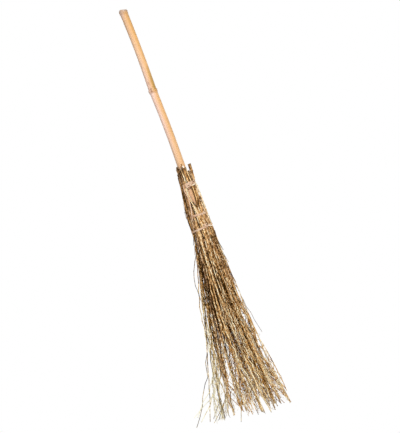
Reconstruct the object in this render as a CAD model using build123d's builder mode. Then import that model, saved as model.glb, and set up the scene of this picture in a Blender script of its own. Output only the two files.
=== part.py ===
from build123d import *
from collections import namedtuple
from math import atan, cos, degrees, hypot, pi, radians, sin, sqrt
import os

os.makedirs("parts", exist_ok=True)

# Besom broom: a bamboo pole driven into a bundle of twigs, held round it by three split bamboo ties.
# Depths are measured down the pole from its top cut. The origin is on the pole's axis, at mid grip.
# +Z runs up the pole, and +X points to the side where the bundle is thin.

# Bamboo pole
pole_diameter = 25.0
pole_length = 738.0
pole_wall = 4.5
rim_length = 2.0  # cut rim above the top node
internode_length = 252.0
septum_thickness = 3.0
node_rise = 1.6  # nodal ridge over the wall
scar_rise = 1.0  # sheath scar under the ridge
node_swell = 4.5  # from a node's crest to its neck, above and below
shoulder_rise = 1.1
shoulder_share = 0.4  # of the swell above the crest: shoulder of the ridge
groove_share = 0.4  # of the swell below the crest: groove between ridge and scar
scar_share = 0.6  # of the swell below the crest: edge of the scar
neck_length = 6.0  # slightly slimmer length beside each node
neck_relief = 0.1
pared_length = 24.0  # lower end, pared to drive into the twigs
pared_diameter = 21.0

# Twigs in the ties: four-sided stems in rings about the pole
stem_width = 5.5
stem_gap = 0.3  # between rings, and from the first ring to the pole
side_gap = 1.0  # between the inner corners of stems in one ring
bundle_radius = 33.1  # at the middle and lower ties
bundle_offset = -8.6  # middle of the bundle from the pole's axis
butt_depth = 496.0  # highest cut butts
butt_scatter = 24.0
shoulder_depth = 585.0  # highest butts of the third ring
shoulder_step = 22.0  # each further ring starts lower

# Ties: flat strips wound round the bundle, each turn over the last
upper_tie_depth = 559.0
middle_tie_depth = 654.0
lower_tie_depth = 696.0
strip_width = 5.0
strip_thickness = 0.9
strip_gap = 0.5  # between one turn and the next
strip_seat = 0.4  # from the strip to the outermost twigs
tie_turns = 2
tie_tilt = 4.5  # degrees: the middle tie falls to the right, and the lower one rises
knot_angle = -66.0  # degrees round the bundle, where a strip starts and ends
gap_points = 200  # a turn, where a strip's gap to itself is measured

# Fan of twigs below the lower tie
brush_depth = 1282.0  # lowest tips
fan_left = 228.0  # how far the left edge spreads between the lower tie and the tips
fan_right = 36.0
fan_thickness = 165.0  # front to back at the tips
fan_lift = 24.0  # how much higher the leftmost tips end
tip_scatter = 50.0
stem_tip_width = 2.0
left_curl = 1.35  # how late each edge spreads: 1 is a straight edge
right_curl = 2.2
crowding = 2.0  # how much denser the right side of the fan is than the left

# Side twigs of each stem
side_twig_count = 5
twig_turn = 3 / 8  # of a turn round the stem, from one side twig to the next
twig_reach = 1.9  # from the stem, before the fan spreads it
core_reaches = (4.4, 8.8)  # of the last twig on each stem of the first ring, in turn, to fill the middle
twig_radius = 1.25  # at the stem
twig_tip_radius = 0.7
tip_stagger = 57.0  # side twigs end up to this much above their stem
first_fork = 0.28  # share of the fall from the lower tie to the tips
last_fork = 0.6
fork_fall = 0.12  # share of the fall in which a side twig leaves its stem
fork_share = 0.8  # of its reach that a side twig then has
twig_twist = 17.0  # degrees, to keep a side twig's flats off its stem's

pole_radius = pole_diameter / 2
chamber_radius = pole_radius - pole_wall
top_node_depth = rim_length + node_swell
grip_depth = top_node_depth + internode_length / 2
ring_pitch = stem_width + stem_gap
stem_corner = stem_width / sqrt(2)
strip_pitch = strip_thickness + strip_gap
# The stems start to spread below the lower tie
fan_depth = lower_tie_depth + strip_width + bundle_radius * sin(radians(tie_tilt))
fall_length = brush_depth - fan_depth
golden_ratio = (sqrt(5) - 1) / 2

Stem = namedtuple("Stem", "ring angle x y butt")


def level(depth):
    # Height of a depth below the pole's top cut
    return grip_depth - depth


def scatter(number):
    # Uneven but steady share between 0 and 1
    return number * golden_ratio % 1


def reach_from(centre, stem):
    # Farthest corner of a stem from the middle of a tie
    corners = [stem.angle + pi / 4 + side * pi / 2 for side in range(4)]
    return max(
        hypot(stem.x + stem_corner * cos(turn) - centre, stem.y + stem_corner * sin(turn)) for turn in corners
    )


def lay_stems():
    # Rings of stems about the pole, each kept where it lies inside the bundle
    stems = []
    ring = 0
    ring_radius = pole_radius + stem_gap + stem_width / 2
    while ring_radius < bundle_radius - bundle_offset:
        count = int(pi / atan((stem_width + side_gap) / (2 * ring_radius - stem_width)))
        for place in range(count):
            angle = pi + 2 * pi * place / count
            share = scatter(len(stems) + 1)
            if ring < 2:
                butt = butt_depth + butt_scatter * share
            else:
                butt = shoulder_depth + shoulder_step * (ring - 2 + share / 2)
            stem = Stem(ring, angle, ring_radius * cos(angle), ring_radius * sin(angle), butt)
            if reach_from(bundle_offset, stem) <= bundle_radius:
                stems.append(stem)
        ring += 1
        ring_radius += ring_pitch
    return stems


stems = lay_stems()
bundle_right = max(stem.x for stem in stems) + stem_corner
bundle_left = min(stem.x for stem in stems) - stem_corner


def left_share(x):
    # 0 on the right edge of the bundle, 1 on the left edge
    return (bundle_right - x) / (bundle_right - bundle_left)


def fan_place(x, y, fall):
    # Where the fan carries what stands at x, y in the ties, at a share of the fall to the tips
    right = bundle_right + fan_right * fall**right_curl
    width = right - bundle_left + fan_left * fall**left_curl
    even = 1 / (1 + crowding * fall)
    spread = even * left_share(x) + (1 - even) * left_share(x) ** 3
    thicker = 1 + (fan_thickness / (2 * bundle_radius) - 1) * fall
    return Vector(right - width * spread, y * thicker, level(fan_depth + fall_length * fall))


def stem_end(number, stem):
    # Share of the fall at which a stem ends
    lift = fan_lift * left_share(stem.x) ** 2 + tip_scatter * scatter(3 * number)
    return 1 - lift / fall_length


def lay_side_twigs(number, stem):
    # Fork, end and reach in plan of each side twig of a stem
    end = stem_end(number, stem)
    twigs = []
    for place in range(side_twig_count):
        fork = first_fork + (last_fork - first_fork) * (place + scatter(number)) / side_twig_count
        turn = stem.angle + 2 * pi * (place * twig_turn + scatter(2 * number))
        reach = Vector(twig_reach * cos(turn), twig_reach * sin(turn))
        twigs.append((fork, end - tip_stagger / fall_length * scatter(number + place), reach))
    if stem.ring == 0:
        inward = core_reaches[number % 2]
        fork = last_fork - (last_fork - first_fork) * scatter(number)
        twigs[-1] = (fork, end, Vector(-inward * cos(stem.angle), -inward * sin(stem.angle)))
    return twigs


def make_side_twig(stem, fork, end, reach):
    # Three-sided strand that starts inside its stem
    bends = ((fork, 0, twig_radius), (fork + fork_fall, fork_share, twig_radius), (end, 1, twig_tip_radius))
    with BuildPart() as twig:
        for fall, share, radius in bends:
            place = fan_place(stem.x + share * reach.X, stem.y + share * reach.Y, fall)
            with BuildSketch(Plane(place)):
                RegularPolygon(radius, 3, rotation=degrees(stem.angle) + twig_twist)
        loft(ruled=True)
    return twig.part


def make_tie(name, depth, bound_stems, centre, tilt):
    # Flat strip wound round the stems that a tie binds, with a straight end at its start and finish
    lean = radians(tilt)
    middle = (centre, 0, level(depth))
    frame = Plane(middle, x_dir=(cos(lean), 0, -sin(lean)), z_dir=(sin(lean), 0, cos(lean)))
    inner_radius = max(reach_from(centre, stem) for stem in bound_stems) + strip_seat

    def wind(turns):
        # Place, heading and outward direction of the strip's middle after some turns
        angle = radians(knot_angle) + 2 * pi * turns
        outward = frame.x_dir * cos(angle) + frame.y_dir * sin(angle)
        around = frame.y_dir * cos(angle) - frame.x_dir * sin(angle)
        radius = inner_radius + strip_thickness / 2 + strip_pitch * turns
        slope = atan(strip_pitch / (2 * pi * radius))
        heading = around * cos(slope) + outward * sin(slope)
        return frame.origin + outward * radius, heading, outward * cos(slope) - around * sin(slope)

    # Each quarter turn is two arcs that meet on a shared tangent
    with BuildPart() as tie:
        start, heading, outward = wind(0)
        with BuildLine() as path:
            Line(start - heading * strip_thickness, start)
            place, bearing = start, heading
            for quarter in range(1, 4 * tie_turns + 1):
                end, end_bearing, _ = wind(quarter / 4)
                chord = end - place
                along = chord.dot(bearing + end_bearing)
                slack = 2 * (1 - bearing.dot(end_bearing))
                reach = (sqrt(along**2 + slack * chord.dot(chord)) - along) / slack
                first, second = place + bearing * reach, end - end_bearing * reach
                TangentArc(place, (first + second) / 2, tangent=bearing)
                TangentArc((first + second) / 2, end, tangent=second - first)
                place, bearing = end, end_bearing
            Line(place, place + bearing * strip_thickness)
        with BuildSketch(Plane(start - heading * strip_thickness, x_dir=outward, z_dir=heading)):
            Rectangle(strip_thickness, strip_width)
        sweep()
    # Points at least half a turn apart show the strip's least gap to itself
    count = gap_points * tie_turns
    line = [path.wire().position_at(step / count) for step in range(count + 1)]
    spacing = min((line[i] - line[j]).length for i in range(count + 1) for j in range(i - gap_points // 2))
    print(name, "inner radius", round(inner_radius, 2), "gap to itself", round(spacing - strip_thickness, 3))
    tie.part.label = name
    export_step(tie.part, f"parts/{name}.step")


# Pole: culm with ridged nodes, hollow between them. The third node lies among the twigs, trimmed flush
node_depths = [top_node_depth + internode_length * place for place in range(3)]
neck_radius = pole_radius - neck_relief
with BuildPart() as handle_pole:
    with BuildSketch(Plane.XZ):
        with BuildLine():
            Line((0, level(0)), (pole_radius, level(0)))
            last = (pole_radius, level(0))
            for depth in node_depths[:2]:
                crest = level(depth)
                neck = (neck_radius, crest + node_swell)
                shoulder = (pole_radius + shoulder_rise, crest + node_swell * shoulder_share)
                ridge = (pole_radius + node_rise, crest)
                groove = (pole_radius + scar_rise / 2, crest - node_swell * groove_share)
                scar = (pole_radius + scar_rise, crest - node_swell * scar_share)
                foot = (neck_radius, crest - node_swell)
                if depth > top_node_depth:
                    wall_end = (pole_radius, crest + node_swell + neck_length)
                    Line(last, wall_end)
                    last = wall_end
                wall_start = (pole_radius, crest - node_swell - neck_length)
                Polyline(last, neck, shoulder, ridge, groove, scar, foot, wall_start)
                last = wall_start
            pared_top = (pole_radius, level(pole_length - pared_length))
            Polyline(last, pared_top, (pared_diameter / 2, level(pole_length)), (0, level(pole_length)))
            Line((0, level(pole_length)), (0, level(0)))
        make_face()
    revolve(axis=Axis.Z)
    half_septum = septum_thickness / 2
    chamber_tops = [0] + [depth + half_septum for depth in node_depths]
    chamber_feet = [depth - half_septum for depth in node_depths] + [pole_length]
    for top, foot in zip(chamber_tops, chamber_feet):
        with BuildSketch(Plane.XY.offset(level(foot))):
            Circle(chamber_radius)
        extrude(amount=foot - top, mode=Mode.SUBTRACT)
handle_pole.part.label = "handle_pole"
export_step(handle_pole.part, "parts/handle_pole.step")

# Ties: the upper one goes round the stems that reach it, close about the pole
upper_stems = [stem for stem in stems if stem.butt < upper_tie_depth]
make_tie("upper_tie", upper_tie_depth, upper_stems, 0, 0)
make_tie("middle_tie", middle_tie_depth, stems, bundle_offset, tie_tilt)
make_tie("lower_tie", lower_tie_depth, stems, bundle_offset, -tie_tilt)

# Twigs: each is a stem with its side twigs in one piece
ring_names = ("inner_twig", "middle_twig", "outer_twig")
stem_bends = (0, 0.25, 0.6, 1)  # shares of a stem's own fall
totals = dict.fromkeys(ring_names, 0)
strand_total = 0
for number, stem in enumerate(stems):
    ring_name = ring_names[min(stem.ring, 2)]
    totals[ring_name] += 1
    strands = [make_side_twig(stem, *twig) for twig in lay_side_twigs(number, stem)]
    strand_total += 1 + len(strands)
    falls = [bend * stem_end(number, stem) for bend in stem_bends]
    with BuildPart() as twig:
        with BuildSketch(Plane((stem.x, stem.y, level(stem.butt)))):
            Rectangle(stem_width, stem_width, rotation=degrees(stem.angle))
        for fall in falls:
            width = stem_width + (stem_tip_width - stem_width) * fall
            with BuildSketch(Plane(fan_place(stem.x, stem.y, fall))):
                Rectangle(width, width, rotation=degrees(stem.angle))
        loft(ruled=True)
        add(strands)
    twig.part.label = f"{ring_name}_{totals[ring_name]:02d}"
    export_step(twig.part, f"parts/{twig.part.label}.step")
print("stems", totals, "strands", strand_total)
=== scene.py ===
import math
import random
from functools import partial

import bpy
import numpy as np
from mathutils import Matrix, Vector
from mathutils.geometry import convex_hull_2d


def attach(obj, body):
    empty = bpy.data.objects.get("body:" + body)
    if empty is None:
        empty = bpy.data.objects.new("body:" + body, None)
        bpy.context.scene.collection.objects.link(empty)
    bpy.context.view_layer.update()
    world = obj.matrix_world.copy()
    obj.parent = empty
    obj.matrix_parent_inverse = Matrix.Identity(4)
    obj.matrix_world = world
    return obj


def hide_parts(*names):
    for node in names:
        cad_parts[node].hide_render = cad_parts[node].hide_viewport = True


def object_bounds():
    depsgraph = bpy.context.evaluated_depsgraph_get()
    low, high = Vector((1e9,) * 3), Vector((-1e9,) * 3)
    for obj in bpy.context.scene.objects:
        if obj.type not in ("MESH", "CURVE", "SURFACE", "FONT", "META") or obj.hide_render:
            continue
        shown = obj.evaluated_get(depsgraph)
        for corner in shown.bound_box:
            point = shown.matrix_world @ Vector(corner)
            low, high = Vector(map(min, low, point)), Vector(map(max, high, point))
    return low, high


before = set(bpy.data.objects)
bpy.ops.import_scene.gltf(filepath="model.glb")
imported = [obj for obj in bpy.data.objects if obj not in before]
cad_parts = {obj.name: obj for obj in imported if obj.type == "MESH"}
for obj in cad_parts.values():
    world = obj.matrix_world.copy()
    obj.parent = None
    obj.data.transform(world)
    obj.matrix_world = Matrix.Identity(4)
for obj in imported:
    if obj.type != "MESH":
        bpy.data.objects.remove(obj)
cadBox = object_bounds()
scene = bpy.context.scene
print("frame loaded:", len(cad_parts), "nodes")


# Working with nodes
class Field:
    # A socket that formulas can be written with
    def __init__(self, tree, socket):
        self.tree, self.socket = tree, socket

    def to(self, kind, *values, **settings):
        return madeBy(self.tree, kind, self, *values, **settings)

    def work(self, operation, *values):
        return self.to("ShaderNodeMath", *values, operation=operation)

    def clipped(self):
        return self.most(0.0).least(1.0)

    def parts(self):
        return [Field(self.tree, part) for part in addNode(self.tree, "ShaderNodeSeparateXYZ", self).outputs]

    def moveTo(self, *place):
        return self.to("SetPosition", True, madeBy(self.tree, "ShaderNodeCombineXYZ", *place))

    def store(self, kind="FLOAT", **values):
        geometry = self
        for name, value in values.items():
            geometry = geometry.to("StoreNamedAttribute", True, name, value, data_type=kind, domain="POINT")
        return geometry


def formula(operation, turned=False):
    def method(self, other):
        pair = (other, self) if turned else (self, other)
        return madeBy(self.tree, "ShaderNodeMath", *pair, operation=operation)

    return method


for sign, operation in (("add", "ADD"), ("sub", "SUBTRACT"), ("mul", "MULTIPLY"), ("truediv", "DIVIDE")):
    setattr(Field, "__" + sign + "__", formula(operation))
    setattr(Field, "__r" + sign + "__", formula(operation, True))
Field.__pow__, Field.__lt__, Field.__gt__ = map(formula, ("POWER", "LESS_THAN", "GREATER_THAN"))
Field.least, Field.most = map(formula, ("MINIMUM", "MAXIMUM"))


def plug(socket, value):
    value = value.socket if isinstance(value, Field) else value
    if isinstance(value, bpy.types.NodeSocket):
        socket.id_data.links.new(value, socket)
    elif value is not None:
        socket.default_value = value


def addNode(tree, kind, *values, by=None, **settings):
    # A node with values for its inputs in their order, or by their names
    node = tree.nodes.new(kind if "Node" in kind else tree.bl_idname.removesuffix("Tree") + kind)
    for name, value in settings.items():
        setattr(node, name, value)
    for socket, value in zip([socket for socket in node.inputs if socket.enabled], values):
        plug(socket, value)
    for name, value in (by or {}).items():
        plug(node.inputs[name], value)
    return node


def madeBy(tree, kind, *values, **settings):
    # The first output of a new node that is in use
    node = addNode(tree, kind, *values, **settings)
    return Field(tree, next(socket for socket in node.outputs if socket.enabled))


def named(tree, name, kind="FLOAT"):
    return madeBy(tree, "InputNamedAttribute", name, data_type=kind)


def newTree(name, inputs):
    # A tree with inputs of the kinds given, the fields of these and the socket for its result
    tree = bpy.data.node_groups.new(name, "GeometryNodeTree")
    for label, kind in ({"Geometry": "Geometry"} | inputs).items():
        tree.interface.new_socket(label, in_out="INPUT", socket_type="NodeSocket" + kind)
    tree.interface.new_socket("Geometry", in_out="OUTPUT", socket_type="NodeSocketGeometry")
    start = tree.nodes.new("NodeGroupInput")
    fields = {socket.name: Field(tree, socket) for socket in start.outputs if socket.name}
    return tree, fields, tree.nodes.new("NodeGroupOutput").inputs[0]


def newMesh(name, points, edges=(), faces=(), skin=None, **attributes):
    mesh = bpy.data.meshes.new(name)
    mesh.from_pydata(points, edges, faces)
    for label, values in attributes.items():
        flat = np.asarray(values, np.float32)
        kind, slot = ("FLOAT_VECTOR", "vector") if flat.ndim == 2 else ("FLOAT", "value")
        mesh.attributes.new(label, kind, "POINT").data.foreach_set(slot, flat.ravel())
    if faces:
        mesh.polygons.foreach_set("use_smooth", [len(face) < 5 for face in faces])
        mesh.materials.append(skin)
    piece = bpy.data.objects.new(name, mesh)
    scene.collection.objects.link(piece)
    return piece


def settle(piece, tree, values):
    # The tree's result becomes the piece's own mesh
    modifier = piece.modifiers.new(tree.name, "NODES")
    modifier.node_group = tree
    for item in tree.interface.items_tree:
        if item.in_out == "INPUT" and item.name in values:
            modifier[item.identifier] = values[item.name]
    depsgraph = bpy.context.evaluated_depsgraph_get()
    mesh = bpy.data.meshes.new_from_object(piece.evaluated_get(depsgraph), depsgraph=depsgraph)
    piece.modifiers.remove(modifier)
    piece.data = mesh


def dress(piece, node):
    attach(piece, "root")
    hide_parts(node)


# Finishes
def newFinish(name, roughness):
    material = bpy.data.materials.new(name)
    material.use_nodes = True
    tree = material.node_tree
    shader = tree.nodes["Principled BSDF"]
    shader.inputs["Roughness"].default_value = roughness
    return material, tree, shader


def trait(tree, name):
    return Field(tree, addNode(tree, "Attribute", attribute_name=name).outputs["Fac"])


def objectPlace(tree):
    return Field(tree, addNode(tree, "TexCoord").outputs["Object"])


def speckle(tree, scale, stretch=(1, 1, 1), detail=3.0, low=0.35, high=0.65, place=None, own=None):
    # Noise on the piece's own coordinates, spread to the full range
    place = (place or objectPlace(tree)).to("Mapping", None, None, stretch)
    noise = addNode(tree, "TexNoise", place, by={"Scale": scale, "Detail": detail})
    if own:  # a separate pattern for each value
        noise.noise_dimensions = "4D"
        plug(noise.inputs["W"], own)
    return Field(tree, noise.outputs[0]).to("MapRange", low, high)


def blendColours(tree, share, first, second):
    pair = [(*colour, 1) if type(colour) is tuple else colour for colour in (first, second)]
    return madeBy(tree, "Mix", share, *pair, data_type="RGBA")


def coat(shader, colour, layers):
    # Each layer covers the ones under it: a field or the name of a trait, its strength, its colour
    tree = shader.id_data
    for share, strength, over in layers:
        share = trait(tree, share) if type(share) is str else share
        colour = blendColours(tree, share * strength, colour, over)
    plug(shader.inputs["Base Color"], colour)


def colourRamp(share, stops):
    node = addNode(share.tree, "ValToRGB", share)
    while len(node.color_ramp.elements) < len(stops):
        node.color_ramp.elements.new(0.5)
    for element, (place, colour) in zip(node.color_ramp.elements, stops):
        element.position, element.color = place, (*colour, 1)
    return node.outputs[0]


def bump(shader, height, strength, distance):
    by = {"Strength": strength, "Distance": distance, "Height": height}
    plug(shader.inputs["Normal"], madeBy(shader.id_data, "Bump", by=by))


def poleFinish():
    material, tree, shader = newFinish("goldenBamboo", 0.4)
    fibre = speckle(tree, 40, (14, 14, 0.5), 4.0)
    cloud = speckle(tree, 14, (1, 1, 0.35), 2.0)
    rubbed = speckle(tree, 260, (1, 1, 0.5), 3.0, 0.3, 0.6)
    stain = speckle(tree, 90, (1, 1, 1), 3.0, 0.2, 0.5)
    grain = speckle(tree, 1500, (1, 1, 0.05), 1.0, 0.45, 0.6)
    coat(shader, (0.73, 0.43, 0.21), (
        (cloud, 1.0, (0.75, 0.48, 0.28)),
        # pale pink with a painted highlight
        ("pinkHighlight", 0.9, (0.84, 0.585, 0.49)),
        # deeper gold down one side
        ("deeperGold", 0.85, (0.62, 0.325, 0.08)),
        (fibre, 0.2, (0.54, 0.30, 0.13)),
        ("wax", 0.75, (0.80, 0.56, 0.48)),
        # darker top end, and painted shade down the left edge
        ("darkerTopAndShade", 0.5, (0.42, 0.25, 0.13)),
        # painted shade in the branch groove
        ("grooveShade", 0.85, (0.36, 0.21, 0.03)),
        ("spots", rubbed, (0.34, 0.17, 0.09)),
        ("scar", 0.6, (0.40, 0.22, 0.11)),
        ("stain", stain, (0.40, 0.28, 0.21)),
        ("cut", 1.0, blendColours(tree, grain, (0.70, 0.50, 0.31), (0.34, 0.20, 0.10))),
    ))
    plug(shader.inputs["Roughness"], fibre * 0.16 + cloud * 0.1 + trait(tree, "cut") * 0.3 + 0.3)
    bump(shader, fibre + grain * 0.3, 0.12, 0.0006)
    return material


# The bark from its darkest tone to its palest, and how it changes over the brush
bark = {
    "tones": (
        (0.0, (0.020, 0.0085, 0.0015)),
        (0.22, (0.112, 0.051, 0.0075)),
        (0.45, (0.368, 0.190, 0.079)),
        (0.65, (0.71, 0.42, 0.175)),
        (0.85, (0.92, 0.69, 0.39)),
        (1.0, (0.98, 0.87, 0.62)),
    ),
    "tiedDownTo": -0.60,
    "fanFrom": -0.62,
    "leftLine": (0.148, 0.046),  # the edge of the left group: slope, and x at height 0
    "mottle": (0.58, 0.34),  # in the fan, in the tied bundle
    "paler": (0.025, 0.16, 0.09),  # everywhere, painted light on the shaded strands behind, on the left
    "olive": (0.010, 0.014),  # on the left, and more towards its tips
    "strength": (1.05, 0.11, 0.2),  # everywhere, more towards the tips, more on the painted-light strands behind
    "dull": (0.30, 0.2),  # on the left, in grey twigs
}


def twigFinish():
    material, tree, shader = newFinish("dryBark", 0.75)
    shader.inputs["Specular IOR Level"].default_value = 0.05
    (slope, start), (inFan, inTies) = bark["leftLine"], bark["mottle"]
    (paler, paintedLightBehind, palerLeft), (olive, oliveTips) = bark["paler"], bark["olive"]
    (strength, strongTips, paintedSaturationBehind), (dullLeft, dullGrey) = bark["strength"], bark["dull"]
    mottle = speckle(tree, 190, (1, 1, 0.85), 2.0, 0.36, 0.64, own=trait(tree, "hue") * 90)
    x, y, z = objectPlace(tree).parts()
    under = bark["fanFrom"] - z
    lower = (under * 2.5).clipped()
    # Strands behind in the lower fan get painted light: paler and more saturated, standing in for light among the
    # shaded strands
    behind = ((y + 0.01) * 25).clipped() * lower
    left = ((z * slope + start - x) * 40).clipped() * (under * 8).clipped()
    tied = ((z - bark["tiedDownTo"]) * 20).clipped()
    spots = (mottle - 0.5) * (inFan - tied * (inFan - inTies)) + paler
    tone = trait(tree, "tone") + spots + behind * paintedLightBehind + left * palerLeft
    grey = trait(tree, "hue").to("MapRange", 0.25, 0.0)
    strength = strength + lower * (strongTips - left * dullLeft) + behind * paintedSaturationBehind - grey * dullGrey
    hue = left * (lower * oliveTips + olive) + 0.5
    by = {"Color": colourRamp(tone, bark["tones"]), "Hue": hue, "Saturation": strength}
    coat(shader, madeBy(tree, "HueSaturation", by=by), (
        ("knot", 0.6, (0.11, 0.055, 0.02)),
        ("butt", 0.85, (0.06, 0.034, 0.016)),
        ("cut", 1.0, (0.96, 0.88, 0.76)),
    ))
    bump(shader, mottle, 0.35, 0.0006)
    return material


def tieFinish():
    material, tree, shader = newFinish("splitBamboo", 0.6)
    fibre = speckle(tree, 1.0, (40, 900, 1), 3.0, place=madeBy(tree, "UVMap", uv_map="strip"))
    patch = speckle(tree, 60, (1, 1, 1), 2.0)
    coat(shader, (0.60, 0.36, 0.22), (
        (patch, 1.0, (0.80, 0.58, 0.41)),
        (fibre, 0.45, (0.36, 0.19, 0.10)),
        ("cut", 1.0, (0.84, 0.70, 0.52)),
    ))
    bump(shader, fibre, 0.3, 0.0004)
    return material


bambooSkin, twigBark, stripSkin = poleFinish(), twigFinish(), tieFinish()
print("finishes made")


# The bamboo pole
pole = {
    "top": cadBox[1].z, "radius": 0.0125, "length": 0.738,
    "nodes": (0.0065, 0.2585, 0.5105),  # the last lies among the twigs and is trimmed flush
    "ridges": (0.00135, 0.0021, 0.0),
    "scarLips": (0.00105, 0.0015, 0.0),
    "scarDrop": 0.0042,
    "sulcusAngle": math.radians(-36), "sulcusDepth": 0.0014, "sulcusLength": 0.075,
    "branchStubs": ((-0.0028, 0.0, 0.0034), (-0.0052, 0.26, 0.0022)),  # place by the node, turn, size
    "stubHeight": 0.0011, "bow": 0.0021, "waist": 0.00085,
    "slant": ((-0.0125, 0.0), (-0.006, 0.0034), (0.0125, -0.0016)),  # height of the top cut across the pole
    # Depth and radius from the septum under the top cut to its rim
    "topCut": ((0.0052, 0.0040), (0.0049, 0.0074), (0.0041, 0.0080), (0.0010, 0.0081),
               (0.0002, 0.0084), (0.0, 0.0089), (0.0, 0.0112), (0.0002, 0.0119)),
    # Height over the lower end and radius, from the paring to the septum inside
    "paredEnd": ((0.024, 0.0125), (0.012, 0.0116), (0.0006, 0.0105), (0.0, 0.0100),
                 (0.0, 0.0084), (0.0006, 0.0080), (0.03, 0.0080)),
    "goldenSide": math.radians(-30),
    # Strength of a deeper gold down one side of the pole, by depth
    "golden": ((0.0, 1.0), (0.06, 1.0), (0.12, 0.8), (0.18, 0.7), (0.23, 0.95), (0.2585, 1.0),
               (0.275, 0.55), (0.4, 0.5), (0.5, 0.35)),
    # Pale pink that also stands in for light: a painted highlight down the left-centre, and painted light on the pole
    # where stems shade it between the upper ties
    "pinkHighlight": ((0.0, 0.25), (0.012, 0.9), (0.03, 0.2), (0.12, 0.15), (0.17, 0.35), (0.2, 0.6), (0.23, 0.75),
             (0.33, 0.95), (0.4, 0.8), (0.46, 0.2), (0.5, 0.0), (0.54, 0.3), (0.56, 0.4), (0.63, 0.4)),
    # Strength of the painted shade down the left edge, by depth
    "leftEdgeShade": ((0.0, 0.9), (0.05, 0.8), (0.1, 0.3), (0.3, 0.1)),
    "rubbedSpots": ((-0.026, -0.0055, 0.0028), (-0.0085, -0.0047, 0.0034), (0.001, -0.0035, 0.0028)),
    "around": 96,
}


def bell(value, width):
    return np.exp(-((value / width) ** 2))


def clip(value):
    return np.clip(value, 0, 1)


def follow(value, table):
    # The further columns of a table, at a value of its first one
    first, *others = zip(*table)
    return [np.interp(value, first, column) for column in others]


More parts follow.
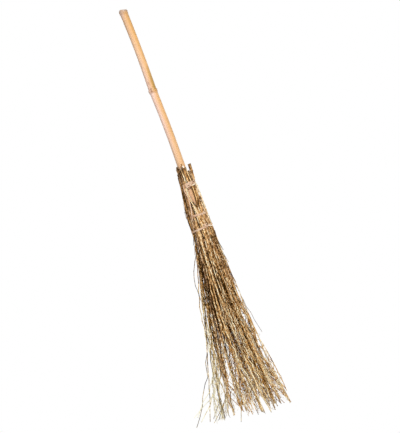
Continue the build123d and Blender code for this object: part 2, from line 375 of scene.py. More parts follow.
def makePole():
    angle = np.linspace(0, 2 * math.pi, pole["around"], endpoint=False)
    topNode, node, buriedNode = pole["nodes"]
    fine = [place + step * 0.00045 for place in pole["nodes"] for step in range(-20, 24)]
    skin = {round(depth, 5) for depth in fine if 0.0007 < depth}
    skin |= {round(0.001 + 0.005 * step, 5) for step in range(143)}
    rows = list(pole["topCut"])
    inside = len(rows)
    rows += [(depth, pole["radius"]) for depth in sorted(skin)]
    outside = len(rows)
    rows += [(pole["length"] - rise, radius) for rise, radius in pole["paredEnd"]]
    depth, radius = (np.array(column)[:, None] * np.ones_like(angle) for column in zip(*rows))
    onSkin, rim, scar, spots = (np.zeros_like(radius) for part in range(4))
    onSkin[inside:outside], rim[inside - 2:inside] = 1, 1
    wave = 0.00025 * np.sin(3 * angle + 0.7) + 0.00015 * np.sin(5 * angle)
    for place, ridge, scarLip in zip(pole["nodes"], pole["ridges"], pole["scarLips"]):
        below = depth - place - wave
        lip = below - pole["scarDrop"]
        radius += onSkin * ridge * bell(below + 0.0008, 0.0026)
        radius += onSkin * scarLip * np.where(lip < 0, bell(lip, 0.0009), bell(lip, 0.0022))
        radius -= onSkin * 0.00035 * bell(below - 0.002, 0.0008)
        scar += 0.85 * bell(lip - 0.0002, 0.0007) + 0.4 * bell(below - 0.0022, 0.0007)
        if place == node:
            wax = np.where(lip > 0, bell(lip - 0.004, 0.011), 0)
    # The branch groove over the second node, with trimmed branch stubs at its foot, and a painted shade in the groove
    turned = np.angle(np.exp(1j * (angle - pole["sulcusAngle"])))
    rise = clip((node - 0.002 - depth) / pole["sulcusLength"])
    groove = np.where(depth < node - 0.002, (1 - rise) ** 0.8, 0) * onSkin * clip((node - depth) / 0.004)
    radius -= pole["sulcusDepth"] * groove * bell(turned, 0.42)
    grooveShade = groove**0.5 * bell(turned, 0.62)
    for place, turn, size in pole["branchStubs"]:
        away = np.hypot(depth - node - place, pole["radius"] * (turned - turn)) / size
        radius += onSkin * pole["stubHeight"] * np.exp(-(away**4))
        scar += 0.9 * np.exp(-((away - 0.75) ** 2) * 14)
    for place, across, size in pole["rubbedSpots"]:
        away = np.hypot((depth - node - place) * 0.6, pole["radius"] * np.cos(angle) - across)
        spots += (np.sin(angle) < 0) * bell(away, size)
    left = clip(0.5 - 0.5 * np.cos(angle - math.radians(20)))
    stain = clip(1.5 - depth / 0.006) * (0.8 + 0.2 * left)
    # Darker towards the top end and on the right near it, and a painted shade down the left edge
    darkerTopAndShade = 0.5 * np.exp(-depth / 0.02) + 0.36 * clip(1 - depth / 0.1)
    darkerTopAndShade += clip(-1.8 * np.cos(angle) - 0.8) * follow(depth, pole["leftEdgeShade"])[0]
    darkerTopAndShade += 0.8 * clip(1.6 * np.cos(angle) - 0.9) * clip(1 - depth / 0.09)
    side = clip(np.cos(angle - pole["goldenSide"]) * 1.3 - 0.15)
    deeperGold, pinkHighlight = side * follow(depth, pole["golden"])[0], (1 - side) * follow(depth, pole["pinkHighlight"])[0]
    marks = {"scar": scar, "wax": wax * (1 - 0.9 * side), "spots": spots, "grooveShade": grooveShade, "stain": stain,
             "darkerTopAndShade": darkerTopAndShade, "deeperGold": deeperGold, "pinkHighlight": pinkHighlight}
    marks = {name: clip(onSkin * mark) for name, mark in marks.items()} | {"cut": 1 - onSkin - rim}
    marks["stain"] += rim
    radius *= 1 + onSkin * 0.006 * np.sin(depth * 37 + 2 * np.sin(angle))
    bend = np.abs(np.sin(math.pi * (depth - topNode) / (node - topNode)))
    radius -= onSkin * pole["waist"] * bend**0.4
    bend *= pole["bow"] * (depth > topNode) * (depth < buriedNode)
    x, y = radius * np.cos(angle) + bend, radius * np.sin(angle)
    slant = follow(x, pole["slant"])[0] * clip(1 - depth / 0.0055)
    points = np.stack([x, y, pole["top"] - depth + slant], -1).reshape(-1, 3).tolist()
    around, last = pole["around"], (len(rows) - 1) * pole["around"]
    faces = []
    for first in range(0, last, around):
        for step in range(around):
            one, two = first + step, first + (step + 1) % around
            faces.append((one, one + around, two + around, two))
    cup, end = len(points), len(points) + 1
    points += [[0, 0, pole["top"] - 0.0051], [0, 0, pole["top"] - pole["length"] + 0.03]]
    faces += [(cup, step, (step + 1) % around) for step in range(around)]
    faces += [(end, last + (step + 1) % around, last + step) for step in range(around)]
    marks = {name: [*mark.ravel(), *[float(name == "cut")] * 2] for name, mark in marks.items()}
    dress(newMesh("bambooPole", points, (), faces, bambooSkin, **marks), "handle_pole")


makePole()
print("pole made")


# The twigs: stems in the bundle, then side twigs and twiglets that fork off them
brush = {
    "fanTop": pole["top"] - 0.7036,  # where the twigs begin to spread
    "fall": 0.5784, "bundleRadius": 0.0331, "bundleLeft": -0.0426, "bundleRight": 0.0252, "left": 0.228,
    "right": 0.030, "leftCurl": 1.35, "rightCurl": 2.2, "thickness": 0.165, "crowding": 2.4,
    "crowdLate": 1.8, "leftThin": 6.0, "fringe": 0.95,
    "tufts": ((0.017, 0.0028, 0.0), (0.029, 0.0050, 1.0)),  # spacing, pull and phase of the tufts at the tips
    "tuftsFrom": 0.25,
    "sides": (7, 5, 4),  # of a stem, a side twig and a twiglet, as in the next line
    "strayRoom": (0.018, -0.004, -0.002), "foldBack": 1.7, "knotSwell": 0.32,
    "palingFalls": (0.26, 0.72),  # between these the twigs grow paler
    "leftLimit": -0.234, "rightLimit": 0.066, "sideLimit": 0.076,
}
stem = {
    "girth": (0.0015, 0.0020), "companionGirth": (0.0012, 0.0017), "wispGirth": 0.0014,
    "stubGirth": 0.0013, "tipShare": 0.62, "taper": 0.85, "swellLength": 0.09, "standLength": 0.06,
    "internode": (0.014, 0.027), "lastInternode": 0.026, "knotLength": 0.0018, "kink": 0.0027,
    "bundleKink": 0.00045, "wander": 0.0034, "curlFrom": 0.7, "budShare": 0.092, "budShareInTies": 0.3,
    "spreadEarly": ((0.0, 0.0), (0.13, 0.35), (0.3, 0.85), (0.4, 1.0), (0.55, 0.8), (0.8, 0.7), (1.0, 0.2)),
    # Tones by ring, darker inwards: painted shade deep in the bundle
    "shadedRingTones": {"inner": 0.2, "middle": 0.42, "outer": 0.54},
    "darkTwigs": ("outer_twig_01", "outer_twig_13", "outer_twig_20"), "wispTones": (0.12, 0.4, 0.7, 0.75),
    "strayTone": 0.16, "stubTone": 0.4, "mostTone": 0.84, "toneSpread": 0.24, "knotTones": 0.27,
    "cutLength": 0.006, "cutShare": 0.25, "seed": 41,
}
# Reach of the bundle to the left and the right, by depth, from the butts to the middle tie
waist = ((0.490, 0.0225, 0.0265), (0.518, 0.0240, 0.0260), (0.559, 0.0262, 0.0234), (0.593, 0.0290, 0.0207),
         (0.613, 0.0325, 0.0207), (0.633, 0.0372, 0.0218), (0.654, 0.0425, 0.0240))
window = {"centre": 0.0006, "half": 0.0090, "reach": 0.024, "front": -0.008, "top": 0.566, "bottom": 0.608}
# Loose stems of each twig: lean to the side at the tips, outward curl of the tip, end of the fall
wisps = {
    "outer_twig_23": ((0.034, -0.132, 0.895), (0.038, -0.098, 0.955), (0.030, -0.076, 0.945),
                      (0.046, -0.030, 0.93), (0.062, -0.012, 0.95)),
    "outer_twig_22": ((-0.010, -0.004, 0.945), (-0.052, -0.012, 0.955), (-0.066, 0.0, 0.93)),
    "outer_twig_15": ((-0.060, -0.004, 0.96), (-0.034, 0.0, 0.94)),
    "outer_twig_14": ((-0.014, -0.006, 0.945), (-0.074, -0.004, 0.935), (-0.045, 0.0, 0.955)),
    "outer_twig_21": ((-0.070, 0.0, 0.955),),
    "outer_twig_16": ((-0.082, 0.004, 0.95),),
    "outer_twig_20": ((-0.012, -0.004, 0.965),),
    "middle_twig_09": ((0.014, 0.0, 0.955),),
    "middle_twig_11": ((0.015, 0.0, 0.90),),
    "middle_twig_08": ((0.020, 0.0, 0.93),),
    "middle_twig_10": ((0.017, 0.0, 0.88),),
}
# Stems laid over the two upper ties on the left: tone, x in mm at the four depths
overlays = {"depths": (0.500, 0.559, 0.654, 0.692), "lift": 0.0021}
overlaid = {
    "middle_twig_01": (0.26, -18.5, -23.6, -38.6, -40.0),
    "middle_twig_18": (0.44, -17.5, -21.2, -35.0, -37.0),
    "middle_twig_02": (0.30, -16.6, -18.8, -31.6, -33.5),
    "inner_twig_01": (0.46, -15.4, -16.4, -28.0, -30.0),
    "middle_twig_03": (0.36, -14.0, -14.2, -24.4, -26.4),
    "inner_twig_02": (0.40, -12.4, -12.6, -21.0, -22.6),
}
# Thin stems that bow out on the right between the ties: bow and place from front to back, in mm
bowed = {
    "middle_twig_09": (1.0, -7.0),
    "middle_twig_10": (3.0, -2.0),
    "inner_twig_07": (4.4, 2.0),
    "middle_twig_11": (5.8, -4.0),
}
# Their line: depth, x in mm, share of the bow
bowLine = ((0.540, 21.0, 0.0), (0.559, 22.0, 0.0), (0.580, 22.6, 0.75), (0.605, 22.4, 1.0), (0.630, 22.6, 0.6),
           (0.654, 23.0, 0.0), (0.720, 24.6, 0.0))
# The line between the left group of stems and the rest, and how it parts and shades them
valley = {"x": -0.026, "z": -0.5805, "slope": 0.148, "from": -0.60, "to": -0.89, "reach": 0.0125,
          "push": 0.0015, "pushFront": -0.006, "shade": 0.11, "shadeFront": 0.016}
# Cut stubs that stand off the sides of the bundle: depth of butt and end, stand
sideStubs = {
    "outer_twig_23": ((0.603, 0.665, -0.0052), (0.632, 0.690, -0.0046)),
    "outer_twig_22": ((0.655, 0.720, -0.0056),),
    "middle_twig_01": ((0.580, 0.640, -0.0050),),
    "middle_twig_10": ((0.586, 0.640, 0.0046),),
    "middle_twig_11": ((0.668, 0.725, 0.0052),),
    "middle_twig_09": ((0.716, 0.770, 0.0060),),
}
# Slits that no twig crosses: middle and half length in the fall, place from the right edge, drift, half width
slits = (
    (0.360, 0.075, -0.0020, -0.020, 0.0036),
    (0.497, 0.070, -0.0130, 0.030, 0.0050),
    (0.660, 0.075, -0.0060, -0.055, 0.0034),
    (0.785, 0.170, 0.0040, 0.020, 0.0036),
    (0.770, 0.060, -0.0670, 0.0, 0.0022),
    (1.000, 0.170, -0.0310, 0.0, 0.0058),
    (1.000, 0.150, -0.0720, 0.0, 0.0084),
    (1.000, 0.120, -0.1040, 0.0, 0.0034),
)
# Short strays: start and end in the fall, lean, bulge, girth
strays = {
    "outer_twig_23": ((0.10, 0.335, 0.0, -0.016, 0.0012), (0.015, 0.055, -1.7, 0.0, 0.0012),
                      (0.06, 0.105, -0.42, 0.0, 0.0013)),
    "middle_twig_10": ((0.38, 0.60, 0.064, 0.0, 0.0009), (0.13, 0.20, 0.25, 0.0, 0.0012)),
    "middle_twig_09": ((0.04, 0.13, 0.62, 0.0, 0.0013), (0.25, 0.31, 0.085, 0.0, 0.0011),
                       (0.70, 0.90, 0.022, 0.0, 0.0009)),
    "middle_twig_11": ((0.30, 0.35, 0.078, 0.0, 0.0012),),
}
brushwood = {
    "Side Twigs Length": 0.29, "Side Twigs Reach": 0.026, "Side Twigs Kink": 0.0026,
    "Twiglets Length": 0.105, "Twiglets Reach": 0.028, "Twiglets Kink": 0.0024, "Twiglets Share": 0.27,
}
# Steps, girth as a share of the parent's, most girth, share of it at the tip
forks = {"Side Twigs": (16, 0.78, 0.0016, 0.66), "Twiglets": (9, 0.84, 0.0012, 0.74)}
forked = {"roomShare": (0.72, 1.03), "lengthShare": (0.35, 1.0), "leastLength": 0.012, "reachShare": (0.15, 1.0),
          "flatness": 0.8, "shake": 0.7, "tones": (0.0, 0.66), "patches": 0.66, "parentTone": 0.4}


def heightOf(depth):
    return pole["top"] - depth


def levelOf(fall):
    return brush["fanTop"] - brush["fall"] * fall


def fallOf(level):
    return (brush["fanTop"] - level) / brush["fall"]


def fading(distance, length):
    return max(0.0, 1 - distance / length)


def forkTree():
    # Twigs that leave a parent twig at its buds, and bend back to its line
    sizes = ("Length", "Reach", "Kink", "Girth Share", "Most Girth", "Tip Share", "Next Buds")
    tree, given, end = newTree("fork", {"Steps": "Int"} | dict.fromkeys(sizes, "Float") | {"Seed": "Int"})
    index = madeBy(tree, "InputIndex")

    def vector(name):
        return named(tree, name, "FLOAT_VECTOR")

    def chance(number, low=0.0, high=1.0, owner=None, kind="FLOAT"):
        draw = (low, high, owner or named(tree, "twigNumber", "INT"), given["Seed"] + number)
        return madeBy(tree, "FunctionNodeRandomValue", *draw, data_type=kind)

    points = given["Geometry"].to("CurveToPoints", mode="EVALUATED")
    points = points.store("FLOAT_VECTOR", root=madeBy(tree, "InputPosition"), rootSway=vector("sway"))
    points = points.store(rootGirth=named(tree, "girth")).store("INT", twigNumber=index)
    grows = chance(1, owner=index) < named(tree, "bud")
    line = madeBy(tree, "CurvePrimitiveLine", (0, 0, 0), (0, 0, 1))
    line = line.to("ResampleCurve", True, given["Steps"], mode="COUNT")
    twigs = points.to("InstanceOnPoints", grows, line).to("RealizeInstances")
    spline = addNode(tree, "SplineParameter")
    along, step = Field(tree, spline.outputs["Factor"]), Field(tree, spline.outputs["Index"])
    rootX, rootY, rootFall = vector("root").parts()
    room = (named(tree, "tipFall") - rootFall) * chance(2, *forked["roomShare"])
    length = (given["Length"] * chance(3, *forked["lengthShare"])).least(room).most(forked["leastLength"])
    fall = rootFall + length * along
    twigs = twigs.moveTo(rootX, rootY, fall)
    turn = chance(4, 0.0, 2 * math.pi)
    reach = given["Reach"] * chance(5, *forked["reachShare"]) * (length / given["Length"]) ** 0.6
    reach = reach * (rootFall * 2.2 + 0.3).least(1.0)
    odd = step.work("MODULO", 2.0)
    loose = given["Kink"] * (along * 20).least(1.0) * (length / given["Length"]) ** 0.7
    out = reach * (1 - (1 - along) ** 2.3) + (odd * 2 - 1) * loose
    swayX, swayY, swayZ = vector("rootSway").parts()
    sways = (swayX + turn.work("COSINE") * out, swayY + turn.work("SINE") * forked["flatness"] * out, swayZ)
    shakes = chance(6, (-1, -1, -1), (1, 1, 1), index, "FLOAT_VECTOR").parts()
    sways = [sway + shake * loose * forked["shake"] for sway, shake in zip(sways, shakes)]
    twigs = twigs.store("FLOAT_VECTOR", sway=madeBy(tree, "ShaderNodeCombineXYZ", *sways))
    girth = (named(tree, "rootGirth") * given["Girth Share"]).least(given["Most Girth"])
    tone = named(tree, "tone") * forked["parentTone"] + chance(7, *forked["tones"])
    tone = tone + (chance(8, owner=index) - 0.5) * forked["patches"]
    low, high = brush["palingFalls"]
    plug(end, twigs.store(
        girth=girth * (1 - (1 - given["Tip Share"]) * along),
        bud=given["Next Buds"] * (along > 0.12) * (along < 0.97),
        tone=tone + (fall.least(high).most(low) - 0.42) * 0.7,
        hue=chance(9),
        knot=odd * 0.5,
        cut=0.0,
        butt=0.0,
    ))
    return tree


def brushwoodTree():
    tree, given, end = newTree("brushwood", dict.fromkeys(brushwood, "Float") | {"Seed": "Int", "Bark": "Material"})
    fork = forkTree()

    def grow(parents, kind, nextBuds, seed):
        steps, *girths = forks[kind]
        sizes = [given[kind + size] for size in (" Length", " Reach", " Kink")]
        return parents.to("Group", steps, *sizes, *girths, nextBuds, seed, node_tree=fork)

    stems = given["Geometry"].to("MeshToCurve")
    sideTwigs = grow(stems, "Side Twigs", given["Twiglets Share"], given["Seed"])
    twiglets = grow(sideTwigs, "Twiglets", 0.0, given["Seed"] + 40)
    # From the bundle's place and the share of the fall to the place in the fan
    across, depth, fall = madeBy(tree, "InputPosition").parts()
    spread = fall.most(0.0)
    right = brush["bundleRight"] + brush["right"] * spread ** brush["rightCurl"]
    width = right - brush["bundleLeft"] + brush["left"] * spread ** brush["leftCurl"]
    share = (brush["bundleRight"] - across) / (brush["bundleRight"] - brush["bundleLeft"])

    def crowd(even, share):
        return even * share + (1 - even) * share ** brush["leftThin"]

    even = 1 / (1 + brush["crowding"] * spread ** brush["crowdLate"])
    place = right - width * crowd(even, share)
    fringe = right - width * crowd(even, brush["fringe"])
    thicker = 1 + (brush["thickness"] / (2 * brush["bundleRadius"]) - 1) * spread
    swayX, swayY, swayZ = named(tree, "sway", "FLOAT_VECTOR").parts()
    line = crowd(1 / (1 + brush["crowding"]), share) * (brush["left"] + brush["right"]) - swayX
    drawn = 0.0
    for spacing, pull, phase in brush["tufts"]:
        drawn = (line * (2 * math.pi / spacing) + phase).work("SINE") * pull + drawn
    drawn = drawn * ((spread - brush["tuftsFrom"]) * 1.4).most(0.0)
    y = (depth * thicker + swayY).least(brush["sideLimit"]).most(-brush["sideLimit"])
    z = brush["fanTop"] - brush["fall"] * fall + swayZ

    def fanPlace(room, home):
        x = place + swayX + drawn
        over = (x - right - room * (spread * 2.5).least(1.0)).most(0.0)
        x = (x - over * brush["foldBack"]).least(brush["rightLimit"])
        x = x.most(brush["leftLimit"] if room > 0 else fringe)
        for middle, half, offset, drift, gap in slits:
            below = fall - middle
            slit = right + offset + below * drift
            side = (home - slit).work("SIGN")
            lens = (1 - (below / half) ** 2).most(0.0)
            short = (lens * gap - (x - slit) * side).most(0.0)
            x = x + side * short * (named(tree, "hue") * 0.5 + 1.1) * (lens * 4).least(1.0)
        # On the front a valley parts the left group of stems from the rest
        away = x - (z - valley["z"]) * valley["slope"] - valley["x"]
        near = (1 - (away / valley["reach"]) ** 2).most(0.0) * ((valley["shadeFront"] - y) * 60).clipped()
        near = near * ((valley["from"] - z) * 9).clipped() * ((z - valley["to"]) * 16).clipped()
        front = ((valley["pushFront"] - y) * 80).clipped()
        return (x + away.work("SIGN") * near * front * valley["push"], y, z), near

    swollen = named(tree, "girth") * (1 + brush["knotSwell"] * named(tree, "knot"))
    joined = addNode(tree, "JoinGeometry")
    for twigs, sides, room in zip((stems, sideTwigs, twiglets), brush["sides"], brush["strayRoom"]):
        root = swayX if twigs is stems else named(tree, "rootSway", "FLOAT_VECTOR").parts()[0]
        spot, shaded = fanPlace(room, place + root)
        twigs = twigs.store(tone=named(tree, "tone") - shaded * valley["shade"]).moveTo(*spot)
        profile = madeBy(tree, "CurvePrimitiveCircle", sides, by={"Radius": 1}, mode="RADIUS")
        plug(joined.inputs[0], twigs.to("CurveToMesh", profile, by={"Scale": swollen, "Fill Caps": True}))
    whole = Field(tree, joined.outputs[0]).to("SetShadeSmooth").to("RealizeInstances")
    plug(end, whole.to("SetMaterial", True, given["Bark"]))
    return tree


def partRound(x, y, depth):
    # Front stems part so that the pole shows between the upper two ties
    away, ahead = x - window["centre"], window["front"] - y
    if ahead < 0 or abs(away) > window["reach"]:
        return x
    middle = (window["top"] + window["bottom"]) / 2
    gap = fading(abs(depth - middle), (window["bottom"] - window["top"]) / 2 + 0.02)
    gap = window["half"] * min(1.0, 1.9 * gap) * min(1.0, ahead / 0.004)
    return window["centre"] + math.copysign(gap + abs(away) * (1 - gap / window["reach"]), away)


def drawIn(x, y, depth, girth):
    # Above the middle tie the bundle narrows towards the upper one
    left, right = follow(depth, waist)
    middle, limit = (right - left) / 2, (right + left) / 2 - girth
    far, firm, soft = math.hypot(x - middle, y), 0.8 * limit, 0.2 * limit
    if depth > waist[-1][0] or far < firm:
        return x, y
    near = firm + soft * math.tanh((far - firm) / soft)
    return middle + (x - middle) * near / far, y * near / far


def layStem(chance, spot, top, tip, girth, tone, lean=0.0, curl=0.0, bulge=0.0, early=0.0, buds=1.0, stand=0.0,
            dark=0.012, pale=False, route=None, above=0.04, hues=(0.0, 1.0), swell=0.0):
    # One stem as points along its fall, with a knot at each end of its internodes
    levels = [top]
    while len(levels) < 2 or levels[-1] - tip > stem["lastInternode"]:
        levels.append(levels[-1] - chance.uniform(*stem["internode"]))
    levels[-1] = tip
    turn, phase = chance.uniform(0, 2 * math.pi), chance.uniform(0, 2 * math.pi)
    waves, tipFall = chance.uniform(0.7, 1.5), fallOf(tip)
    sways, tones = [], []
    for number, level in enumerate(levels):
        fall = min(1.0, max(0.0, fallOf(level)))
        size = (stem["bundleKink"] + stem["kink"] * fall) * chance.uniform(0.4, 1.2)
        angle = turn + math.pi * number + chance.uniform(-0.7, 0.7)
        bent = curl * max(0.0, (fall - stem["curlFrom"]) / (tipFall - stem["curlFrom"])) ** 1.7
        raised = stand * fading(top - level, stem["standLength"])
        raised += bulge * math.sin(math.pi * number / (len(levels) - 1))
        raised += early * follow(fall, stem["spreadEarly"])[0]
        sways.append((size * math.cos(angle) + lean * fall**2 + bent + raised, size * math.sin(angle), 0.0))
        low, high = brush["palingFalls"]
        paler = 0.65 * (min(max(fall, low), high) - 0.38) if fallOf(level) > -0.02 else above
        tones.append(tone + chance.uniform(-stem["knotTones"], stem["knotTones"]) + paler)
    hue = chance.uniform(*hues)
    rows = []
    for number, level in enumerate(levels):
        # Rise from the level, and the level that the stem bends to there
        steps = [(stem["knotLength"], number - 1), (0.0, number), (-stem["knotLength"], number + 1)]
        steps += [(-drop, 1) for drop in (0.0055, 0.0075) if pale and number == 0]
        for rise, other in steps:
            if not 0 <= other < len(levels):
                continue
            height, knot = level + rise, float(other == number)
            share = 0.0 if knot else rise / (levels[other] - level)
            fall, depth, below = fallOf(height), heightOf(height), top - height
            drift = stem["wander"] * max(0.0, fall) * math.sin(phase + 2 * math.pi * waves * fall)
            x, y = route(depth) if route else drawIn(*spot, depth, girth)
            x = x if route else partRound(x + drift, y, depth)
            budding = stem["budShare"] * buds if 0.03 < fall < tipFall - 0.03 else 0.0
            if x > 0.011 and -0.24 < fall < -0.05:  # thin twigs between the ties on the right
                budding = stem["budShareInTies"]
            thinned = (1 - stem["tipShare"]) * max(0.0, fall / tipFall) ** stem["taper"]
            rows.append({
                "place": (x, y + drift * 0.6, fall),
                "sway": [a + (b - a) * share for a, b in zip(sways[number], sways[other])],
                "girth": swell * fading(below, stem["swellLength"]) + girth * (1 - thinned),
                "tone": tones[number],
                "hue": hue,
                "tipFall": tipFall,
                "knot": knot if number else 0.0,
                "bud": knot * budding,
                "butt": fading(below, dark),
                "cut": 1.0 if pale and below < stem["cutLength"] else 0.0,
            })
    return rows


def girdle(depth, extras=()):
    # How far the bundle reaches from its middle, by angle, at one depth
    circles = []
    for spot, girth, butt in bundleCircles:
        if butt > heightOf(depth):
            x, y = drawIn(*spot, depth, girth)
            circles.append((partRound(x, y, depth), y, girth))
    circles += [(*route(depth), girth) for route, girth in extras]
    turns = np.linspace(0, 2 * math.pi, 24, endpoint=False)
    points = [(x + girth * math.cos(turn), y + girth * math.sin(turn)) for x, y, girth in circles for turn in turns]
    line = np.array(points)[convex_hull_2d(points)]
    middle = (line[:, 0].min() + line[:, 0].max()) / 2
    ahead = np.roll(line, -1, 0)
    dense = np.concatenate([line + (ahead - line) * share for share in np.linspace(0, 1, 12, endpoint=False)])
    angles = np.arctan2(dense[:, 1], dense[:, 0] - middle)
    reach = np.hypot(dense[:, 0] - middle, dense[:, 1])
    order = np.argsort(angles)
    return middle, lambda angle: np.interp(angle, angles[order], reach[order], period=2 * math.pi)


def onFront(x, depth, lift, extras=()):
    # The point on the front of the bundle at x and a depth, and the way out from it
    middle, reach = girdle(depth, extras)
    angles = np.linspace(math.pi, 2 * math.pi, 400)
    places = middle + (reach(angles) + lift) * np.cos(angles)
    angle = float(np.interp(x, places, angles))
    far = float(reach(angle)) + lift
    out = (math.cos(angle), math.sin(angle), 0.0)
    return (middle + far * out[0], far * out[1], heightOf(depth)), out


def layTwig(chance, name, x, y, top, tip):
    # The stems of one twig, as spot, butt, tip, girth, mean tone and manner
    radius, angle = math.hypot(x, y), math.atan2(y, x)
    standing, loose = name == "middle_twig_10", name == "outer_twig_23"
    atMiddle, atSide, farRight = abs(x) < 0.013, x > 0.006 or x < -0.0175, x > 0.012
    tone = 0.08 if name in stem["darkTwigs"] else stem["shadedRingTones"][name.split("_")[0]]
    tone += 0.05 if farRight else 0.0
    looks = {"buds": 0.7 if x < -0.029 else 0.12 if farRight else 0.9}
    # Stems on the left get a darker tone above the fan: painted shade along the bundle's left edge
    looks["above"] = -0.10 if x < -0.019 else 0.06 if farRight else 0.04
    looks["hues"] = (0.0, 0.6) if x < -0.012 else (0.0, 0.28) if x > 0.01 else (0.0, 1.0)
    manner = looks | {"dark": chance.uniform(0.004, 0.018), "lean": chance.gauss(0, 0.004)}
    girth, depth = chance.uniform(*stem["girth"]), heightOf(top)
    if standing:  # thick butt that stands apart from the pole
        depth, girth, tone = 0.5015, 0.0022, 0.52
        manner |= {"stand": 0.0045, "dark": 0.007, "swell": 0.0030}
    elif name == "middle_twig_06":  # pale cut beside it
        depth, tone = 0.5005, 0.3
        manner |= {"pale": True, "swell": 0.0013}
    elif atMiddle and y < -0.015:
        depth = chance.uniform(0.503, 0.516)
    elif name in ("inner_twig_01", "inner_twig_02", "inner_twig_12"):
        depth, manner["dark"] = chance.uniform(0.496, 0.503), 0.06
    elif atSide:
        depth = max(depth, chance.uniform(0.517, 0.530))
    if name.startswith("outer"):
        depth += chance.uniform(-0.02, 0.008)
    if loose:
        manner |= {"lean": 0.016, "curl": -0.056, "early": -0.010}
    if farRight:
        manner["curl"] = 0.010
    tip -= 0.011 if -0.031 < x < 0.009 else 0.0
    stalks = [((x, y), heightOf(depth), tip, girth, tone, manner)]
    for side in (1, -1):
        near = radius + chance.uniform(-0.0008, 0.0004)
        beside = angle + side * chance.uniform(0.0029, 0.0036) / radius
        spot = (near * math.cos(beside), near * math.sin(beside))
        ways = looks | {"lean": chance.gauss(0, 0.013), "dark": chance.uniform(0.004, 0.02)}
        butt = max(depth + chance.uniform(-0.004, 0.024), 0.515 if atSide else 0.0)
        if atMiddle and y < -0.01:
            butt = window["bottom"] + chance.uniform(0.0, 0.02)
        if standing and side < 0:
            spot, butt = (x - 0.0050, y - 0.003), 0.521
            ways |= {"stand": 0.002, "dark": 0.001, "pale": True}
        if x > 0.010:  # clear of the loose stems at the right edge, until the tips
            ways |= {"lean": -0.6 * abs(ways["lean"]), "curl": 0.012 if side > 0 else 0.008}
        if loose:
            ways |= {"early": -0.008 if side < 0 else -0.003, "lean": 0.024, "curl": -0.03}
        if -0.036 < x < 0.015 or side > 0 or standing:
            end = tip + chance.uniform(-0.006, 0.022)
            thin = chance.uniform(*stem["companionGirth"])
            stalks.append((spot, heightOf(butt), end, thin, tone + 0.1 * side, ways))
    for lean, curl, end in wisps.get(name, ()):
        spot = (x + chance.uniform(-0.0005, 0.003), y + chance.uniform(-0.003, 0.003))
        ways = {"lean": lean, "curl": curl, "dark": 0.001}
        ways |= {"early": -0.003, "buds": 0.6} if x < 0 else {"buds": 0.2}
        shade = chance.choice(stem["wispTones"])
        stalks.append((spot, brush["fanTop"] + 0.03, levelOf(end), stem["wispGirth"], shade, ways))
    for start, end, lean, bulge, thin in strays.get(name, ()):
        ways = {"lean": lean, "bulge": bulge, "early": -0.010 if x < 0 else 0.0, "buds": 0.0, "dark": 0.05}
        stalks.append(((x, y - 0.002), levelOf(start), levelOf(end), thin, stem["strayTone"], ways))
    for butt, end, stand in sideStubs.get(name, ()):
        ways = {"stand": stand, "buds": 0.0, "dark": 0.02, "hues": (0.0, 0.5)}
        ends = heightOf(butt), heightOf(end)
        stalks.append(((x, y - 0.003), *ends, stem["stubGirth"], stem["stubTone"], ways))
    return stalks


def layOverlays():
    # The stems over the two upper ties go down under the lower one
    routes = []
    for name, (tone, *places) in overlaid.items():
        line = []
        for depth in np.linspace(overlays["depths"][0], overlays["depths"][-1], 25):
            lift = np.interp(depth, (0.66, 0.688), (overlays["lift"] + 0.0016, -0.0012))
            point, out = onFront(np.interp(depth, overlays["depths"], places) / 1000, depth, lift)
            line.append((depth, *point[:2]))
        routes.append((name, tone, partial(follow, table=line)))
    return routes


def bowRoute(depth, bow, behind):
    # Under both ties, and out to the right between them
    right, share = follow(depth, bowLine)
    return (right + bow * share) / 1000, behind / 1000


twigStalks = {}
for number, name in enumerate(sorted(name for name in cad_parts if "_twig_" in name)):
    points = np.array([vertex.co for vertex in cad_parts[name].data.vertices])
    top, tip = points[:, 2].max(), points[:, 2].min()
    x, y = points[points[:, 2] > top - 1e-5].mean(0)[:2]
    twigStalks[name] = layTwig(random.Random(stem["seed"] * 1000 + number), name, x, y, top, tip)
bundleCircles = [(spot, girth, butt) for stalks in twigStalks.values() for spot, butt, tip, girth, *rest in stalks]
overlayRoutes = layOverlays()
chance = random.Random(stem["seed"])
for name, tone, route in overlayRoutes:
    ways = {"route": route, "dark": chance.uniform(0.01, 0.03), "lean": chance.gauss(0, 0.006), "hues": (0.0, 0.25)}
    ends = heightOf(chance.uniform(0.513, 0.532)), heightOf(chance.uniform(1.225, 1.265))
    twigStalks[name].append((None, *ends, chance.uniform(0.0014, 0.0019), tone, ways))
for name, (bow, behind) in bowed.items():
    route = partial(bowRoute, bow=bow, behind=behind)
    ways = {"route": route, "dark": 0.001, "buds": 0.3, "above": 0.16, "hues": (0.0, 0.3)}
    ends = heightOf(chance.uniform(0.540, 0.552)), heightOf(chance.uniform(1.08, 1.22))
    twigStalks[name].append((None, *ends, chance.uniform(0.0009, 0.0011), 0.72, ways))
twigTree = brushwoodTree()
twigFaces = 0
for number, (name, stalks) in enumerate(twigStalks.items()):
    chance = random.Random(stem["seed"] * 2000 + number)
    rows, edges = [], []
    for spot, butt, end, thick, tone, ways in stalks:
        tone = chance.gauss(tone, stem["toneSpread"] if spot and "swell" not in ways else 0.06)
        stalk = layStem(chance, spot, butt, end, thick, min(stem["mostTone"], max(0.0, tone)), **ways)
        if chance.random() < stem["cutShare"]:
            stalk[0]["cut"], stalk[0]["butt"] = 1.0, 0.0
        edges += [(len(rows) + step, len(rows) + step + 1) for step in range(len(stalk) - 1)]
        rows += stalk
    values = {label: [row[label] for row in rows] for label in rows[0] if label != "place"}
    piece = newMesh(name.replace("_twig_", "Twig"), [row["place"] for row in rows], edges, **values)
    settle(piece, twigTree, brushwood | {"Seed": 100 * number, "Bark": twigBark})
    twigFaces += len(piece.data.polygons)
    dress(piece, name)
print("twigs made:", len(twigStalks), "pieces,", twigFaces, "faces")


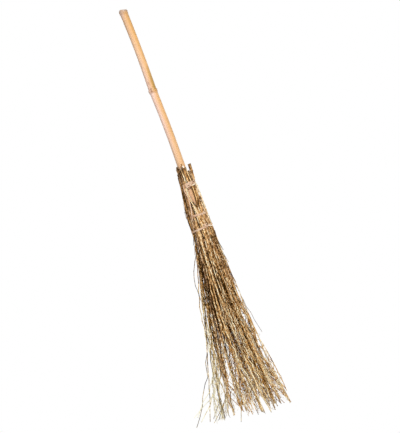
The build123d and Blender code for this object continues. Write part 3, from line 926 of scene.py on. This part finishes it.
# The ties: split bamboo strips wound round the stems
strip = {
    "width": 0.0038,
    "thickness": 0.0009,
    "section": ((-0.5, 0.0), (-0.4, 0.5), (0.0, 0.62), (0.4, 0.5), (0.5, 0.0), (0.4, -0.5), (0.0, -0.42), (-0.4, -0.5)),
    "steps": 96,
}
ties = {
    "upper_tie": {"depth": 0.559, "tilt": 0.0, "turns": 3.6, "rise": 0.0052, "from": 205, "sway": 0.0014,
                  "width": 0.0033},
    "middle_tie": {"depth": 0.654, "tilt": 4.5, "turns": 2.5, "rise": 0.0013, "from": 150, "sway": 0.0006},
    "lower_tie": {"depth": 0.696, "tilt": -4.5, "turns": 2.6, "rise": 0.0013, "from": 250, "sway": 0.0006},
}
# Ends that cross over the turns: x and depth of the start and the finish, from the pole's axis
crossings = {
    "upper_tie": (((-0.010, 0.565), (0.004, 0.552)), ((0.004, 0.566), (0.014, 0.553))),
    "middle_tie": (((0.006, 0.660), (0.016, 0.650)),),
    "lower_tie": (((-0.002, 0.6985), (0.011, 0.6865)), ((0.001, 0.687), (0.010, 0.6985))),
}
# Bare ends that stand off: x and depth where they leave the turns, length, rise along the bundle
stubs = {"upper_tie": (0.0130, 0.5650, 0.007, 0.001), "lower_tie": (0.017, 0.696, 0.008, -0.003)}
# The long end of the upper tie: depth and x on its way down to the lower one
tail = ((0.556, -0.0150), (0.570, -0.0180), (0.601, -0.0135), (0.643, -0.0200), (0.649, -0.0230),
        (0.678, -0.0270), (0.694, -0.0340))


def layStrip(points, outs, width, bare=False):
    # A strip with a slightly domed section, laid along points with its face outwards
    points, outs = np.asarray(points), np.asarray(outs)
    ahead = np.gradient(points, axis=0)
    sides = np.cross(ahead, outs)
    sides /= np.linalg.norm(sides, axis=1)[:, None]
    faceOut = np.cross(sides, ahead)
    faceOut /= np.linalg.norm(faceOut, axis=1)[:, None]
    length = np.concatenate([[0], np.cumsum(np.linalg.norm(np.diff(points, axis=0), axis=1))])
    section, end = np.array(strip["section"]), len(points) - 1
    across, out = section.T[:, None, :, None]
    corners = points[:, None] + sides[:, None] * width * across + faceOut[:, None] * strip["thickness"] * out
    marks = [(far, across) for far in length for across in section[:, 0] * width]
    cut = [float(bare or step in (0, end)) for step in range(end + 1) for corner in section]
    size, last = len(section), end * len(section)
    faces = [(first + a, first + (a + 1) % size, first + size + (a + 1) % size, first + size + a)
             for first in range(0, last, size) for a in range(size)]
    faces += [tuple(range(size - 1, -1, -1)), tuple(range(last, last + size))]
    return corners.reshape(-1, 3).tolist(), faces, marks, cut


def wind(facts):
    # The turns of a tie, each a little across the last
    middle, reach = girdle(facts["depth"])
    lean = math.tan(math.radians(facts["tilt"]))
    count = int(facts["turns"] * strip["steps"])
    points, outs = [], []
    for step in range(count + 1):
        turn = facts["turns"] * step / count
        angle = math.radians(facts["from"]) + 2 * math.pi * turn
        far = float(reach(angle)) + strip["thickness"] * (0.45 + 0.35 * turn)
        x = middle + far * math.cos(angle)
        across = facts["rise"] * (2 * turn / facts["turns"] - 1) + facts["sway"] * math.sin(angle + 2.4 * turn)
        points.append((x, far * math.sin(angle), heightOf(facts["depth"]) - (x - middle) * lean + across))
        outs.append((math.cos(angle), math.sin(angle), 0))
    return points, outs


def makeTie(node, facts):
    bands = [layStrip(*wind(facts), facts.get("width", strip["width"]))]
    for (startX, startDepth), (endX, endDepth) in crossings[node]:
        route = []
        for share in (step / 14 for step in range(15)):
            lift = strip["thickness"] * (0.3 + (0.8 + facts["turns"] * 0.45) * math.sin(math.pi * share) ** 0.5)
            point, out = onFront(startX + (endX - startX) * share, facts["depth"], lift)
            route.append(((*point[:2], heightOf(startDepth + (endDepth - startDepth) * share)), out))
        bands.append(layStrip(*zip(*route), strip["width"] * 1.05))
    if node in stubs:
        x, depth, length, rise = stubs[node]
        point, out = onFront(x, depth, strip["thickness"] * 2)
        heading = Vector((-out[1], out[0], 0)) + Vector(out) * 0.35
        steps = [Vector(point) + heading * length * share + Vector(out) * 0.002 * share**2
                 + Vector((0, 0, rise * share)) for share in (-0.4, -0.1, 0.2, 0.5, 0.8, 1.0)]
        bands.append(layStrip(steps, [out] * len(steps), strip["width"] * 0.9, bare=True))
    if node == "upper_tie":  # its long end
        route = []
        for depth in np.linspace(tail[0][0], tail[-1][0], 45):
            near = [follow(depth + shift, tail) for shift in (-0.008, -0.004, 0, 0.004, 0.008)]
            extras = [(way, 0.0018) for name, tone, way in overlayRoutes] if depth < 0.668 else ()
            route.append(onFront(float(np.mean(near)), float(depth), strip["thickness"] * 0.6, extras))
        bands.append(layStrip(*zip(*route), strip["width"] * 0.95))
    corners, faces, marks, cut = [], [], [], []
    for band in bands:
        faces += [tuple(corner + len(corners) for corner in face) for face in band[1]]
        corners, marks, cut = corners + band[0], marks + band[2], cut + band[3]
    piece = newMesh(node.replace("_tie", "Tie"), corners, (), faces, stripSkin, cut=cut)
    uv = piece.data.uv_layers.new(name="strip")
    uv.data.foreach_set("uv", [value for loop in piece.data.loops for value in marks[loop.vertex_index]])
    dress(piece, node)


for node, facts in ties.items():
    makeTie(node, facts)
print("ties made")


# The floor, the light and the camera
stageSet = {
    "floorSize": 14.0, "floorWhite": 0.6, "skyLight": 0.27, "aim": (0, 0, -0.55),
    "tilt": math.radians(20.63), "centre": (-0.0006, pole["top"] - 0.6611), "away": 3.0,
    "frameHeight": 1.299,
}
lamps = {
    "key": {"place": (1.0, -2.7, 1.1), "power": 88, "size": 0.35},
    "fill": {"place": (-2.4, -1.7, 0.0), "power": 14, "size": 2.0},
    "back": {"place": (-0.6, 2.8, 0.8), "power": 22, "size": 2.0},
}


def whiteToCamera(tree, shader, output, white, share=1.0):
    # Camera, gloss and glass rays see plain white, or a share of it
    rays = addNode(tree, "LightPath").outputs
    camera, gloss, glass = (Field(tree, rays["Is %s Ray" % kind]) for kind in ("Camera", "Glossy", "Transmission"))
    seen = camera.most(gloss).most(glass)
    mixed = madeBy(tree, "MixShader", seen * share, shader.outputs[0], white)
    plug(tree.nodes[output].inputs["Surface"], mixed)


def makeStage():
    half, low = stageSet["floorSize"] / 2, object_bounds()[0].z
    corners = [(-half, -half, low), (half, -half, low), (half, half, low), (-half, half, low)]
    material, tree, shader = newFinish("paleFloor", 0.9)
    shader.inputs["Base Color"].default_value = (0.9, 0.9, 0.9, 1)
    whiteToCamera(tree, shader, "Material Output", madeBy(tree, "Emission"), stageSet["floorWhite"])
    newMesh("floor", corners, (), [(0, 1, 2, 3)], material)
    scene.world = bpy.data.worlds.new("studio")
    scene.world.use_nodes = True
    tree = scene.world.node_tree
    soft = tree.nodes["Background"]
    soft.inputs["Color"].default_value = (1, 1, 1, 1)
    soft.inputs["Strength"].default_value = stageSet["skyLight"]
    whiteToCamera(tree, soft, "World Output", madeBy(tree, "Background", (1, 1, 1, 1)))
    for name, facts in lamps.items():
        lamp = bpy.data.lights.new(name, "AREA")
        lamp.energy, lamp.size = facts["power"], facts["size"]
        holder = bpy.data.objects.new(name, lamp)
        holder.location = facts["place"]
        aim = Vector(stageSet["aim"]) - Vector(facts["place"])
        holder.rotation_euler = aim.to_track_quat("-Z", "Y").to_euler()
        scene.collection.objects.link(holder)
    camera = bpy.data.objects.new("camera", bpy.data.cameras.new("camera"))
    camera.data.type = "ORTHO"
    camera.data.ortho_scale = stageSet["frameHeight"]
    x, z = stageSet["centre"]
    turned = Matrix.Rotation(stageSet["tilt"], 4, "Y") @ Matrix.Rotation(math.pi / 2, 4, "X")
    camera.matrix_world = Matrix.Translation((x, -stageSet["away"], z)) @ turned
    scene.collection.objects.link(camera)
    scene.camera = camera
    scene.view_settings.view_transform = "Standard"


makeStage()
print("stage set")
